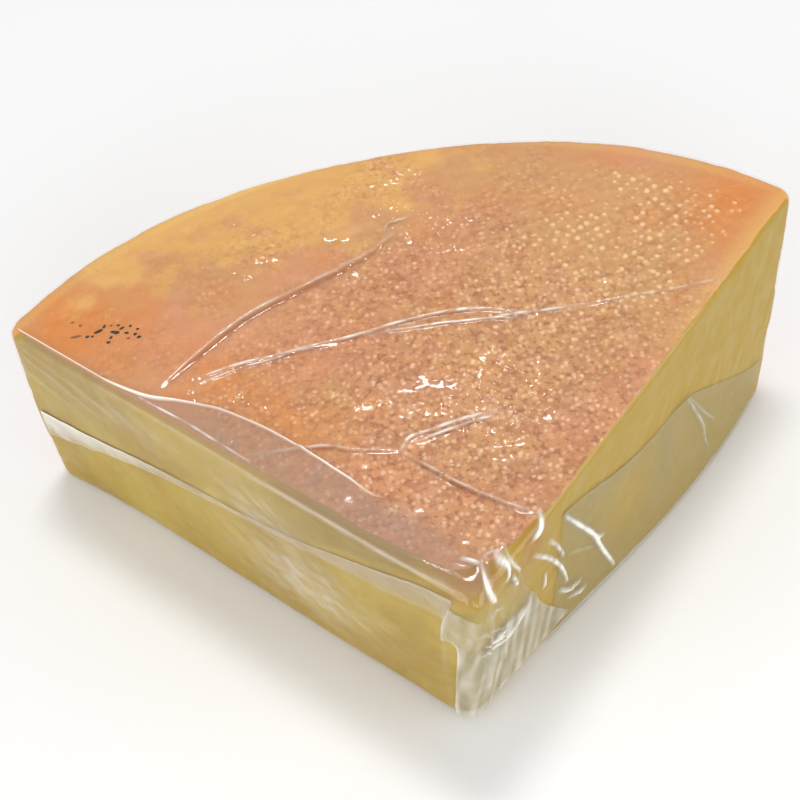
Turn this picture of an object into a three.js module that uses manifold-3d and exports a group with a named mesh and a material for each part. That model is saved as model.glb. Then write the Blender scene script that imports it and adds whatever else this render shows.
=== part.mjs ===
// A quarter of a raclette wheel wrapped in clear film, lying on one of its flat sides.
// The shape is the outside of the film: the cut block, its creases and its bunched tip.

import * as THREE from 'three';
import { ParametricGeometry } from 'three/addons/geometries/ParametricGeometry.js';
import { mergeVertices } from 'three/addons/utils/BufferGeometryUtils.js';
import Module from 'manifold-3d';

// Millimetres and degrees. The wheel's centre is at x = 0, y = 0, where the two cuts meet.
const wheelRadius = 150;
const cutAngle = 90.9;
const thicknessAtTip = 72.6;
const thicknessAtLeftCorner = 70;
const thicknessAtRightCorner = 77;

// The rim isn't quite round: a little flat in the middle and fuller towards both corners.
const rimFullness = 0.5;
const rimWave = 1.9;
const rimWaveAngle = 34;
const rimBulge = 1.8;

// The film stands a little off the cut block all round.
const filmGap = 0.8;

// How the base differs from the top: the rim flares or tucks in, the right cut leans and
// bows out, the left cut is a little hollow, and the tip is undercut.
const leftRimFlare = 3.6;
const rightRimFlare = -8.4;
const rightCutFlare = 7.3;
const leftCutFlare = 0.8;
const rightCutBow = 3.8;
const leftCutBow = -1.4;
const tipUndercut = new THREE.Vector2(-1.4, 4.9);

// A bow's deepest place is nearer to the rim than to the tip: the power sets how much.
const rightBowPower = 1.6;
const leftBowPower = 2.6;

// Roundings of the upright corners, measured along the sides that they join.
const tipCorner = 2.6;
const rimCorner = 5;

// Roundings of the long edges. The film bends over the tip in a wider curve.
const topEdge = 2.4;
const topEdgeAtTip = 6;
const tipReach = 16;
const baseEdge = 2.5;

// Shallow hollows and swellings of the rind under the film.
const swellHeight = 0.35;
const swellLength = 78;

// Steps of the surface along each stretch of the outline, and up the side.
const cutSteps = 14;
const cornerSteps = 4;
const rimSteps = 34;
const capSteps = 9;
const roundingSteps = 4;
const sideSteps = 7;

// How deep a crease's own solid is sunk into the block that it is joined to.
const creaseRoot = 1.6;
const creaseSteps = 16;
const creaseSides = 8;

const radians = THREE.MathUtils.degToRad;
const mix = THREE.MathUtils.lerp;
const rightCutDirection = radians(90 - cutAngle / 2);
const leftCutDirection = radians(90 + cutAngle / 2);

// The two cuts: the way from the tip, the way the face looks, and how its base differs.
const rightCut = {
  direction: rightCutDirection,
  facing: rightCutDirection - Math.PI / 2,
  flare: rightCutFlare,
  bow: rightCutBow,
  bowPower: rightBowPower,
};
const leftCut = {
  direction: leftCutDirection,
  facing: leftCutDirection + Math.PI / 2,
  flare: leftCutFlare,
  bow: leftCutBow,
  bowPower: leftBowPower,
};

// A point at a distance from the wheel's centre, in a direction in the plan.
function polar(direction, distance) {
  return new THREE.Vector2(Math.cos(direction) * distance, Math.sin(direction) * distance);
}

// The rim's distance from the wheel's centre, at a height that runs from 0 (base) to 1 (top).
function rimDistance(direction, level) {
  const turn = direction - Math.PI / 2;
  const wave = rimFullness - rimWave * Math.cos(Math.PI * turn / radians(rimWaveAngle));
  const across = (direction - rightCutDirection) / (leftCutDirection - rightCutDirection);
  const flare = mix(rightRimFlare, leftRimFlare, across) * (1 - level);
  return wheelRadius + wave + flare + rimBulge * Math.sin(Math.PI * level);
}

// The three corners of the plan at a height, moved in from the outline by inset.
function planCorners(level, inset) {
  const tip = tipUndercut.clone().multiplyScalar(1 - level);
  const right = polar(rightCutDirection, rimDistance(rightCutDirection, level) - inset);
  const left = polar(leftCutDirection, rimDistance(leftCutDirection, level) - inset);
  const intoRight = polar(rightCutDirection + Math.PI / 2, 1);
  const intoLeft = polar(leftCutDirection - Math.PI / 2, 1);
  right.addScaledVector(intoRight, inset - rightCutFlare * (1 - level));
  left.addScaledVector(intoLeft, inset - leftCutFlare * (1 - level));
  tip.y += inset / Math.sin(radians(cutAngle / 2));
  return { tip, right, left };
}

// A point on the rim between its two corners, from 0 at the right to 1 at the left.
function rimPoint(fraction, corners, level, inset) {
  const start = corners.right.angle();
  const end = corners.left.angle();
  const direction = mix(start, end, fraction);
  const lengthsOff = mix(
    corners.right.length() - rimDistance(start, level) + inset,
    corners.left.length() - rimDistance(end, level) + inset,
    fraction,
  );
  return polar(direction, rimDistance(direction, level) - inset + lengthsOff);
}

// A rounded corner between two points, with the sharp corner as its guide.
function corneredPoint(from, corner, to, fraction) {
  return new THREE.QuadraticBezierCurve(from, corner, to).getPoint(fraction);
}

// The stretches of the outline in turn, anticlockwise from the tip, and their steps.
const stretches = [
  { steps: cutSteps, place: rightCutPoint },
  { steps: cornerSteps, place: rightCornerPoint },
  { steps: rimSteps, place: (f, c, level, inset) => rimPoint(trimmed(f), c, level, inset) },
  { steps: cornerSteps, place: leftCornerPoint },
  { steps: cutSteps, place: leftCutPoint },
  { steps: cornerSteps, place: tipPoint },
];
const outlineSteps = stretches.reduce((sum, stretch) => sum + stretch.steps, 0);

// The share of the rim that its two rounded corners leave.
function trimmed(fraction) {
  const cornerShare = rimCorner / (radians(cutAngle) * wheelRadius);
  return mix(cornerShare, 1 - cornerShare, fraction);
}

// A point on a cut, at a distance from its tip end or, if negative, from its rim end.
function cutPoint(tip, rimEnd, distance) {
  const length = tip.distanceTo(rimEnd);
  const fraction = distance < 0 ? 1 + distance / length : distance / length;
  return tip.clone().lerp(rimEnd, fraction);
}

// How far a cut bows out at a fraction of the way from the tip, most at the base.
function bowVector(cut, fromTip, level) {
  const depth = cut.bow * Math.sin(Math.PI * fromTip ** cut.bowPower) * (1 - level);
  return polar(cut.facing, depth);
}

function rightCutPoint(fraction, corners, level) {
  const from = cutPoint(corners.tip, corners.right, tipCorner);
  const point = from.lerp(cutPoint(corners.tip, corners.right, -rimCorner), fraction);
  return point.add(bowVector(rightCut, fraction, level));
}

function leftCutPoint(fraction, corners, level) {
  const from = cutPoint(corners.tip, corners.left, -rimCorner);
  const point = from.lerp(cutPoint(corners.tip, corners.left, tipCorner), fraction);
  return point.add(bowVector(leftCut, 1 - fraction, level));
}

function rightCornerPoint(fraction, corners, level, inset) {
  const from = cutPoint(corners.tip, corners.right, -rimCorner);
  const to = rimPoint(trimmed(0), corners, level, inset);
  return corneredPoint(from, corners.right, to, fraction);
}

function leftCornerPoint(fraction, corners, level, inset) {
  const from = rimPoint(trimmed(1), corners, level, inset);
  const to = cutPoint(corners.tip, corners.left, -rimCorner);
  return corneredPoint(from, corners.left, to, fraction);
}

function tipPoint(fraction, corners) {
  const from = cutPoint(corners.tip, corners.left, tipCorner);
  const to = cutPoint(corners.tip, corners.right, tipCorner);
  return corneredPoint(from, corners.tip, to, fraction);
}

// A point of the film's outline by its step, at a height and moved in by inset.
function outlinePoint(step, level, inset) {
  const fromBlock = inset - filmGap;
  const corners = planCorners(level, fromBlock);
  let left = step % outlineSteps;
  for (const stretch of stretches) {
    if (left < stretch.steps) {
      return stretch.place(left / stretch.steps, corners, level, fromBlock);
    }
    left -= stretch.steps;
  }
  throw new Error('no such step of the outline');
}

// The height of the flat top, which tilts because the wheel's thickness is uneven.
function topPlane(x, y) {
  const corner = polar(leftCutDirection, wheelRadius);
  const slopeAcross = (thicknessAtLeftCorner - thicknessAtRightCorner) / (2 * corner.x);
  const meanThickness = (thicknessAtLeftCorner + thicknessAtRightCorner) / 2;
  const slopeBack = (meanThickness - thicknessAtTip) / corner.y;
  return thicknessAtTip + slopeAcross * x + slopeBack * y;
}

// The rind's shallow swellings, which fade out towards the edges of the top.
function swell(x, y) {
  const turn = 2 * Math.PI / swellLength;
  const across = Math.sin(turn * (x + 0.3 * y)) * Math.sin(turn * 1.3 * y);
  const diagonal = Math.sin(turn * 1.7 * (x - y) / 2);
  return swellHeight * (across + diagonal);
}

function topHeight(x, y, fade) {
  return topPlane(x, y) + fade * swell(x, y);
}

const middle = new THREE.Vector2(0, wheelRadius * 0.62);

// The rings of the surface, from the middle of the base up the side to the middle of the top.
function surfaceRings() {
  const rings = [];
  for (let i = 0; i < capSteps; i += 1) {
    rings.push({ part: 'base', share: i / capSteps });
  }
  for (let i = 0; i < roundingSteps; i += 1) {
    rings.push({ part: 'base edge', share: i / roundingSteps });
  }
  for (let i = 0; i < sideSteps; i += 1) {
    rings.push({ part: 'side', share: i / sideSteps });
  }
  for (let i = 0; i < roundingSteps; i += 1) {
    rings.push({ part: 'top edge', share: i / roundingSteps });
  }
  for (let i = 0; i <= capSteps; i += 1) {
    rings.push({ part: 'top', share: i / capSteps });
  }
  return rings;
}

// The rounding of the top's edge at a step of the outline, widest at the tip.
function topEdgeAt(step) {
  const fromTip = outlinePoint(step, 1, 0).length();
  return topEdge + (topEdgeAtTip - topEdge) * Math.exp(-((fromTip / tipReach) ** 2));
}

// A point of the block's surface at a step of the outline and on a ring.
function surfacePoint(step, ring, target) {
  const angle = ring.share * Math.PI / 2;
  const rounding = topEdgeAt(step);
  const shoulder = 1 - rounding / thicknessAtTip;
  const ankle = baseEdge / thicknessAtTip;
  if (ring.part === 'base') {
    const point = outlinePoint(step, 0, baseEdge);
    target.set(mix(middle.x, point.x, ring.share), mix(middle.y, point.y, ring.share), 0);
  } else if (ring.part === 'base edge') {
    const level = ankle * (1 - Math.cos(angle));
    const point = outlinePoint(step, level, baseEdge * (1 - Math.sin(angle)));
    target.set(point.x, point.y, level * topPlane(point.x, point.y));
  } else if (ring.part === 'side') {
    const level = mix(ankle, shoulder, ring.share);
    const point = outlinePoint(step, level, 0);
    target.set(point.x, point.y, level * topPlane(point.x, point.y));
  } else if (ring.part === 'top edge') {
    const level = shoulder + (1 - shoulder) * Math.sin(angle);
    const point = outlinePoint(step, level, rounding * (1 - Math.cos(angle)));
    target.set(point.x, point.y, level * topPlane(point.x, point.y));
  } else {
    const point = outlinePoint(step, 1, rounding);
    const x = mix(point.x, middle.x, ring.share);
    const y = mix(point.y, middle.y, ring.share);
    target.set(x, y, topHeight(x, y, Math.min(1, ring.share * 3)));
  }
}

// The block as one closed surface of rings round the outline.
function blockGeometry() {
  const rings = surfaceRings();
  const place = (u, v, target) => {
    const step = Math.round(u * outlineSteps) % outlineSteps;
    surfacePoint(step, rings[Math.round(v * (rings.length - 1))], target);
  };
  return new ParametricGeometry(place, outlineSteps, rings.length - 1);
}

// A crease is a long low spindle that follows a curve and is half sunk in the surface.
function creaseGeometry(points, outward, width, height) {
  const curve = new THREE.CatmullRomCurve3(points);
  const place = (u, v, target) => {
    const angle = 2 * Math.PI * Math.round(u * creaseSides) / creaseSides;
    const fullness = Math.sqrt(Math.sin(Math.PI * v));
    const along = curve.getTangent(v);
    const sideways = new THREE.Vector3().crossVectors(outward, along).normalize();
    const rise = Math.sin(angle) > 0 ? height : creaseRoot;
    target.copy(curve.getPoint(v));
    if (v > 0 && v < 1) {
      target.addScaledVector(sideways, fullness * Math.cos(angle) * width / 2);
      target.addScaledVector(outward, fullness * Math.sin(angle) * rise);
    }
  };
  return new ParametricGeometry(place, creaseSides, creaseSteps);
}

const upward = new THREE.Vector3(0, 0, 1);

function onTop([x, y]) {
  return new THREE.Vector3(x, y, topHeight(x, y, 1));
}

// Creases of the film over the rind, each as points in the plan, a width and a height.
const topCreases = [
  { name: 'long diagonal', width: 3, height: 1.3,
    points: [[-68, 77], [-46, 92.8], [-26.5, 103.6], [-8, 111.5], [1, 118]] },
  { name: 'across', width: 3.2, height: 1.5,
    points: [[-60, 73.5], [-55, 79], [-22.5, 82.1], [19, 83.5], [50, 79.5], [80, 79.7]] },
  { name: 'front', width: 2.8, height: 1.2,
    points: [[-46.3, 51], [-26.6, 49.1], [-10, 44.6], [4.5, 31], [17.8, 20.8]] },
  { name: 'fork', width: 2.6, height: 1.1,
    points: [[-9, 45], [-5, 48.2], [6, 49.4], [17.1, 51.3]] },
  { name: 'flap edge', width: 2.6, height: 0.9,
    points: [[-98, 97.5], [-73, 77], [-51.2, 66], [-32, 48.8], [-17.6, 32.5]] },
];

// A place on a cut face, by its distance from the tip edge and its depth below the top.
function onCut(cut, [fromTip, depth]) {
  const place = polar(cut.direction, fromTip);
  const top = topPlane(place.x, place.y);
  const level = 1 - depth / top;
  const share = fromTip / wheelRadius;
  place.addScaledVector(tipUndercut, (1 - level) * (1 - share));
  place.add(polar(cut.facing, filmGap + cut.flare * (1 - level) * share));
  place.add(bowVector(cut, share, level));
  return new THREE.Vector3(place.x, place.y, top - depth);
}

// Straight creases that the pull of the film leaves on the right cut, in the same terms.
const rightCreases = [
  { points: [[36, 12], [50, 38], [63, 66]], width: 2.6, height: 0.9 },
  { points: [[24, 12], [32, 27], [40, 48]], width: 2.4, height: 0.8 },
  { points: [[92, 25], [102, 42], [109, 62]], width: 2.6, height: 0.9 },
];

// Pleats of the bunched film that run down beside the tip, on both cuts.
const rightPleats = [
  { points: [[5, 9], [5.5, 34], [7, 66]], width: 3, height: 1.3 },
  { points: [[10, 12], [12, 36], [15, 64]], width: 2.6, height: 0.9 },
];
const leftPleats = [
  { points: [[8, 8], [8.5, 26], [6, 66]], width: 3, height: 1.2 },
];

function cutCreases(list, cut) {
  const facing = polar(cut.facing, 1);
  const outward = new THREE.Vector3(facing.x, facing.y, 0);
  return list.map(({ points, width, height }) => (
    creaseGeometry(points.map((point) => onCut(cut, point)), outward, width, height)));
}

function allCreases() {
  return [
    ...topCreases.map(({ points, width, height }) => (
      creaseGeometry(points.map(onTop), upward, width, height))),
    ...cutCreases(rightCreases, rightCut),
    ...cutCreases(rightPleats, rightCut),
    ...cutCreases(leftPleats, leftCut),
  ];
}

const wasm = await Module();
wasm.setup();

// A closed surface as a solid, without the triangles that collapse at a surface's poles.
function toSolid(geometry) {
  geometry.deleteAttribute('normal');
  geometry.deleteAttribute('uv');
  const merged = mergeVertices(geometry, 1e-4);
  const index = merged.index.array;
  const kept = [];
  for (let i = 0; i < index.length; i += 3) {
    const [a, b, c] = index.slice(i, i + 3);
    if (a !== b && b !== c && c !== a) {
      kept.push(a, b, c);
    }
  }
  const vertProperties = new Float32Array(merged.attributes.position.array);
  const triVerts = new Uint32Array(kept);
  return new wasm.Manifold(new wasm.Mesh({ numProp: 3, vertProperties, triVerts }));
}

function toGeometry(solid) {
  const mesh = solid.getMesh();
  const geometry = new THREE.BufferGeometry();
  geometry.setAttribute('position', new THREE.BufferAttribute(mesh.vertProperties, 3));
  geometry.setIndex(new THREE.BufferAttribute(mesh.triVerts, 1));
  geometry.computeVertexNormals();
  return geometry;
}

function wrappedCheese() {
  let solid = toSolid(blockGeometry());
  for (const crease of allCreases()) {
    solid = solid.add(toSolid(crease));
  }
  const geometry = toGeometry(solid);
  const material = new THREE.MeshStandardMaterial({ color: 0xd9a066, roughness: 0.35, metalness: 0 });
  const mesh = new THREE.Mesh(geometry, material);
  mesh.name = 'wrapped_cheese';
  return mesh;
}

// The origin is under the middle of the part's own box, on the surface that it lies on.
const part = new THREE.Group();
const cheese = wrappedCheese();
cheese.geometry.computeBoundingBox();
const centre = cheese.geometry.boundingBox.getCenter(new THREE.Vector3());
cheese.position.set(-centre.x, -centre.y, 0);
part.add(cheese);

export default part;
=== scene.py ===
"""A quarter of a raclette wheel wrapped in clear film, dressed over its solid model."""
import math

import bpy
import numpy as np
from mathutils import Matrix, Vector
from mathutils.geometry import delaunay_2d_cdt


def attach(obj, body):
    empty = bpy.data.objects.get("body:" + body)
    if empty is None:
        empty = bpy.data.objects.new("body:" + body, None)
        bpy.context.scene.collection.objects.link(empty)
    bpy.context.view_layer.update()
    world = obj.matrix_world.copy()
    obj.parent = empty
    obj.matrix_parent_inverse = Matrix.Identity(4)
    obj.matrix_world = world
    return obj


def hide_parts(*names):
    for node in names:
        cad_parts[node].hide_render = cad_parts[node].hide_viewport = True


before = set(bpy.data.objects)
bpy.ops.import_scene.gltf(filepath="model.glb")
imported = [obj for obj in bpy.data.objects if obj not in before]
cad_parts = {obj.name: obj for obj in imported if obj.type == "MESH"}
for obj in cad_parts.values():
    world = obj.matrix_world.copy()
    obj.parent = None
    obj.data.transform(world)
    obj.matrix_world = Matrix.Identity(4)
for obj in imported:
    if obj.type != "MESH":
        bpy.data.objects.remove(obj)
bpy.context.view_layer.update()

# Places in the plan are complex numbers in millimetres, x + y i, from the wheel's centre,
# where the two cuts meet. Lengths are millimetres until a mesh is made.
MM = 0.001

# The block's driving sizes, as in the solid model.
WHEEL_RADIUS = 150.0
CUT_ANGLE = math.radians(90.9)
THICKNESS_AT_TIP = 72.6
THICKNESS_AT_LEFT = 70.0
THICKNESS_AT_RIGHT = 77.0
RIM_FULLNESS = 0.5
RIM_WAVE = 1.9
RIM_WAVE_ANGLE = math.radians(34)
RIM_BULGE = 1.8
FILM_GAP = 0.8
LEFT_RIM_FLARE = 3.6
RIGHT_RIM_FLARE = -8.4
RIGHT_CUT_FLARE = 7.3
LEFT_CUT_FLARE = 0.8
RIGHT_BOW = 3.8
LEFT_BOW = -1.4
RIGHT_BOW_POWER = 1.6
LEFT_BOW_POWER = 2.6
TIP_UNDERCUT = -1.4 + 4.9j
RIM_CORNER = 5.0
SWELL_HEIGHT = 0.35
SWELL_LENGTH = 78.0
TIP_REACH = 16.0

RIGHT_WAY = math.pi / 2 - CUT_ANGLE / 2
LEFT_WAY = math.pi / 2 + CUT_ANGLE / 2

# The cheese's sides stand this far outside the block's outline, and its top and base lie this
# far inside it. The film stands FILM_GAP outside the outline.
CHEESE_OUT = 0.62
CHEESE_DROP = 0.4
CHEESE_LIFT = 0.35

# Steps round the outline for each stretch: right cut, corner, rim, corner, left cut, tip.
CHEESE_STEPS = (150, 8, 200, 8, 150, 14)
FILM_STEPS = (220, 8, 100, 8, 130, 22)
CHEESE_SIDE_ROWS = 36
FILM_SIDE_ROWS = 76
TIP_CROWDING = 1.4
CHEESE_GRID = 0.56
FILM_GRID = 0.86
CREASE_GRID = 0.4
BASE_GRID = 7.0


# Plan of the block

def polar(way, distance):
    """A place at a distance from the wheel's centre, in a direction."""
    return distance * np.exp(1j * way)


def smooth(low, high, value):
    """0 below low, 1 above high, and an easy curve between."""
    share = np.clip((value - low) / (high - low), 0.0, 1.0)
    return share * share * (3.0 - 2.0 * share)


def rim_distance(way, level):
    """How far the rim is from the wheel's centre, at a level from 0 (base) to 1 (top)."""
    wave = RIM_FULLNESS - RIM_WAVE * np.cos(math.pi * (way - math.pi / 2) / RIM_WAVE_ANGLE)
    across = (way - RIGHT_WAY) / (LEFT_WAY - RIGHT_WAY)
    flare = (RIGHT_RIM_FLARE + (LEFT_RIM_FLARE - RIGHT_RIM_FLARE) * across) * (1 - level)
    return WHEEL_RADIUS + wave + flare + RIM_BULGE * np.sin(math.pi * level)


def plan_corners(level, inset):
    """The tip and the right and left corners, moved in from the block's outline by inset."""
    tip = TIP_UNDERCUT * (1 - level) + 1j * inset / math.sin(CUT_ANGLE / 2)
    ends = []
    for way, inward, flare in ((RIGHT_WAY, 1, RIGHT_CUT_FLARE), (LEFT_WAY, -1, LEFT_CUT_FLARE)):
        end = polar(way, rim_distance(way, level) - inset)
        ends.append(end + polar(way + inward * math.pi / 2, inset - flare * (1 - level)))
    return tip, *ends


def toward(start, end, distance):
    """A place on the way from start to end, a distance from start, or from end if negative."""
    length = np.abs(end - start)
    share = distance / length + (1.0 if distance < 0 else 0.0)
    return start + (end - start) * share


def bent(start, corner, end, share):
    """A place on the rounded corner between two places."""
    return (1 - share) ** 2 * start + 2 * share * (1 - share) * corner + share ** 2 * end


def rim_place(share, right, left, level, inset):
    """A place on the rim, from 0 at the right corner to 1 at the left."""
    start = np.angle(right)
    end = np.angle(left)
    way = start + (end - start) * share
    off_start = np.abs(right) - rim_distance(start, level) + inset
    off_end = np.abs(left) - rim_distance(end, level) + inset
    return polar(way, rim_distance(way, level) - inset + off_start + (off_end - off_start) * share)


def outline(walk, level, inset, tip_corner):
    """Places round the block. walk runs from 0 to 6, one for each stretch from the tip."""
    stretch = np.floor(walk)
    share = walk - stretch
    tip, right, left = plan_corners(level, inset)
    trim = RIM_CORNER / (CUT_ANGLE * WHEEL_RADIUS)
    right_start = toward(tip, right, tip_corner)
    right_end = toward(tip, right, -RIM_CORNER)
    left_start = toward(tip, left, -RIM_CORNER)
    left_end = toward(tip, left, tip_corner)
    rim_start = rim_place(trim, right, left, level, inset)
    rim_end = rim_place(1 - trim, right, left, level, inset)
    right_bow = RIGHT_BOW * np.sin(math.pi * share ** RIGHT_BOW_POWER) * (1 - level)
    left_bow = LEFT_BOW * np.sin(math.pi * (1 - share) ** LEFT_BOW_POWER) * (1 - level)
    return np.select(
        [stretch == 0, stretch == 1, stretch == 2, stretch == 3, stretch == 4],
        [
            right_start + (right_end - right_start) * share + polar(RIGHT_WAY - math.pi / 2, right_bow),
            bent(right_end, right, rim_start, share),
            rim_place(trim + (1 - 2 * trim) * share, right, left, level, inset),
            bent(rim_end, left, left_start, share),
            left_start + (left_end - left_start) * share + polar(LEFT_WAY + math.pi / 2, left_bow),
        ],
        bent(left_end, tip, right_start, share),
    )


def walk_of(steps):
    """The walk of every step round the outline."""
    return np.concatenate([k + np.arange(n) / n for k, n in enumerate(steps)])


def top_plane(place):
    """The height of the top, which tilts because the wheel's thickness is uneven."""
    corner = polar(LEFT_WAY, WHEEL_RADIUS)
    slope_across = (THICKNESS_AT_LEFT - THICKNESS_AT_RIGHT) / (2 * corner.real)
    mean = (THICKNESS_AT_LEFT + THICKNESS_AT_RIGHT) / 2
    slope_back = (mean - THICKNESS_AT_TIP) / corner.imag
    return THICKNESS_AT_TIP + slope_across * place.real + slope_back * place.imag


def swell(place):
    """The rind's shallow swellings."""
    turn = 2 * math.pi / SWELL_LENGTH
    across = np.sin(turn * (place.real + 0.3 * place.imag)) * np.sin(turn * 1.3 * place.imag)
    return SWELL_HEIGHT * (across + np.sin(turn * 0.85 * (place.real - place.imag)))


def from_right(place):
    """How far a place in the plan is inside the right cut."""
    return (np.conj(polar(RIGHT_WAY, 1.0)) * place).imag


def from_left(place):
    """How far a place in the plan is inside the left cut."""
    return -(np.conj(polar(LEFT_WAY, 1.0)) * place).imag


def lifted(place, height):
    """Points in space, as rows of x, y, z, from places in the plan and their heights."""
    return np.stack([place.real, place.imag, height], -1)


def plan(points):
    """Places in the plan, from rows of x, y, z."""
    return points[:, 0] + 1j * points[:, 1]


def edge_distance(place):
    """How far a place in the plan is inside the nearest edge of the top."""
    return np.minimum(np.minimum(from_right(place), from_left(place)), WHEEL_RADIUS - np.abs(place))


# Small relief

WAVE_COUNT = 16
WAVE_LENGTHS = (0.6, 1.6)


def waves(place, length, seed):
    """Smooth irregular relief of about unit height, as a sum of waves in seeded directions."""
    draw = np.random.default_rng(seed)
    total = np.zeros(place.shape)
    for _ in range(WAVE_COUNT):
        way = draw.uniform(0, math.pi)
        turn = 2 * math.pi / (length * draw.uniform(*WAVE_LENGTHS))
        start = draw.uniform(0, 2 * math.pi)
        total += np.sin((np.conj(polar(way, 1.0)) * place).real * turn + start)
    return total / math.sqrt(WAVE_COUNT / 2)


# Spacing and radius of the rind's beads and of its finer grains, and how far a bead strays from
# its cell's middle, as a share of the cell.
BEAD_SPACING = 2.9
BEAD_RADIUS = 0.74
BEAD_JITTER = 0.3
GRAIN_SPACING = 1.9
GRAIN_RADIUS = 0.62

# The turn of the beads' cells, how many cells there are before they repeat, and the height of
# the lowest bead as a share of the highest.
BEAD_TILT = math.radians(24)
BEAD_TABLE = 97
SMALLEST_BEAD = 0.24


def beads(place, spacing=BEAD_SPACING, radius=BEAD_RADIUS):
    """The small round bumps of the rind, from 0 between them to 1 at a crest."""
    table = np.random.default_rng(5).uniform(-1, 1, (3, BEAD_TABLE, BEAD_TABLE))
    cell = place * np.exp(-1j * BEAD_TILT) / spacing
    column = np.floor(cell.real).astype(int)
    row = np.floor(cell.imag).astype(int)
    best = np.zeros(place.shape)
    for across in (-1, 0, 1):
        for up in (-1, 0, 1):
            i = column + across
            j = row + up
            shift_x, shift_y, size = table[:, i % BEAD_TABLE, j % BEAD_TABLE]
            centre = i + 0.5 + BEAD_JITTER * shift_x + 1j * (j + 0.5 + BEAD_JITTER * shift_y)
            near = np.abs(cell - centre) * spacing / radius
            rise = SMALLEST_BEAD + (1 - SMALLEST_BEAD) * (size + 1) / 2
            best = np.maximum(best, rise * np.exp(-near ** 2))
    return best


def bead_strength(place):
    """Where the rind is beaded: most right of the middle, least at the left and the rim."""
    right = np.exp(-(np.abs((place - (66 + 97j)) / 42)) ** 2)
    front = 0.35 * np.exp(-(np.abs((place - (12 + 45j)) / 36)) ** 2)
    patch = 0.8 + 0.16 * waves(place, 30, 11)
    return np.clip(1.5 * (right + front) * patch, 0, 1) * smooth(3, 12, edge_distance(place))


def grain_strength(place):
    """Where the rind has finer grains: from the middle to the tip."""
    middle = np.exp(-(np.abs((place - (12 + 66j)) / 50)) ** 2)
    return np.clip(middle * (0.9 + 0.3 * waves(place, 22, 12)), 0, 1)


def smooth_curve(points, samples=10):
    """A Catmull-Rom curve through a few places."""
    ends = [2 * points[0] - points[1], *points, 2 * points[-1] - points[-2]]
    share = np.arange(samples) / samples
    runs = []
    for a, b, c, d in zip(ends, ends[1:], ends[2:], ends[3:]):
        bend = (2 * a - 5 * b + 4 * c - d) * share ** 2 + (3 * b - a - 3 * c + d) * share ** 3
        runs.append(b + 0.5 * ((c - a) * share + bend))
    return np.append(np.concatenate(runs), points[-1])


def along_curve(place, curve):
    """Each place's distance to a curve, and how far along the curve it is nearest to."""
    best = np.full(place.shape, np.inf)
    along = np.zeros(place.shape)
    last = len(curve) - 1
    for k, (start, end) in enumerate(zip(curve, curve[1:])):
        run = end - start
        share = np.clip((np.conj(run) * (place - start)).real / np.abs(run) ** 2, 0, 1)
        distance = np.abs(place - start - share * run)
        closer = distance < best
        best = np.where(closer, distance, best)
        along = np.where(closer, (k + share) / last, along)
    return best, along


# Creases of the film: width, height, how white the pinched crest is (partly the film's own
# whitening, partly a painted highlight), how dark the painted shade before it is, and points in
# the top's plan.
TOP_CREASES = [
    (1.6, 0.5, 0.8, 0, [-73+75.2j, -69.2+71.6j, -61.4+64.5j, -54.5+57.4j, -46.5+49.2j]),
    (3.4, 1, 0.32, 0.55, [-67.6+76.7j, -59.7+83.6j, -44.6+94.8j, -27.2+102.9j, -9.3+110.7j, 1+118j]),
    # A painted highlight on the long diagonal fold.
    (2.4, 1.15, 1, 0, [-28.5+102.1j, -23.4+104.2j, -17.4+106.6j]),
    (1.8, 0.7, 0.75, 0.4, [-2.2+117j, -1.6+120.4j, 3.5+121.6j]),
    (2.2, 0.9, 0.95, 0.4, [-57.5+77.9j, -44.8+80.5j, -18.8+82.3j, 4.4+84.5j, 16.6+84j, 27.1+80.8j]),
    (1.5, 0.6, 0.6, 0.3, [-57+76.3j, -46+79j, -33+80.6j, -20+81.2j]),
    (2, 0.7, 0.85, 0.3, [19+80.2j, 27.5+80.2j, 41.1+79.8j]),
    (1.7, 0.6, 0.4, 0.3, [39+80.2j, 51.2+79.6j, 66+79.2j, 80+79.7j]),
    (1.6, 0.6, 0.85, 0.3, [-14.2+82.2j, -2.2+81.4j, 7.9+81j, 18.9+80.2j, 25.2+79j, 25.8+80.2j]),
    (2, 0.8, 0.6, 0.45, [-45.2+51.1j, -32+50j, -26.4+49j, -21+46.9j, -10.9+44.7j]),
    (2.4, 0.9, 0.4, 0.45, [-9.8+44.5j, -4.3+38.7j, 1.3+33.3j, 10.6+25.6j, 17.8+20.8j]),
    (2, 0.8, 1, 0.3, [-9.8+44.5j, -7.1+47.7j, -1.7+48.8j, 6.3+50.6j, 16.1+51.6j]),
    (1.7, 0.7, 0.95, 0.4, [-5.4+46.3j, 2+48j, 10+49.7j, 13.9+50.1j]),
    (2.2, 0.9, 0.75, 0.5, [3.4+11.2j, 5.7+12.4j, 8.3+12.4j, 11.7+14j, 15.1+16.5j]),
    # A painted highlight on the fold at the tip.
    (2.6, 0.9, 1.4, 0, [-1.2+12.2j, 0.8+11.4j, 3+10j]),
    (3.4, 0.4, 0.08, 0.3, [-52.3+61j, -53.5+57j, -55.2+54.5j]),
    (3.4, 0.4, 0.08, 0.3, [-49+59j, -50.5+56j, -52.3+53.2j]),
    (4, 0.12, 0.12, 0.3, [-27+47j, -30+44j, -34.5+38.5j]),
]

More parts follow.
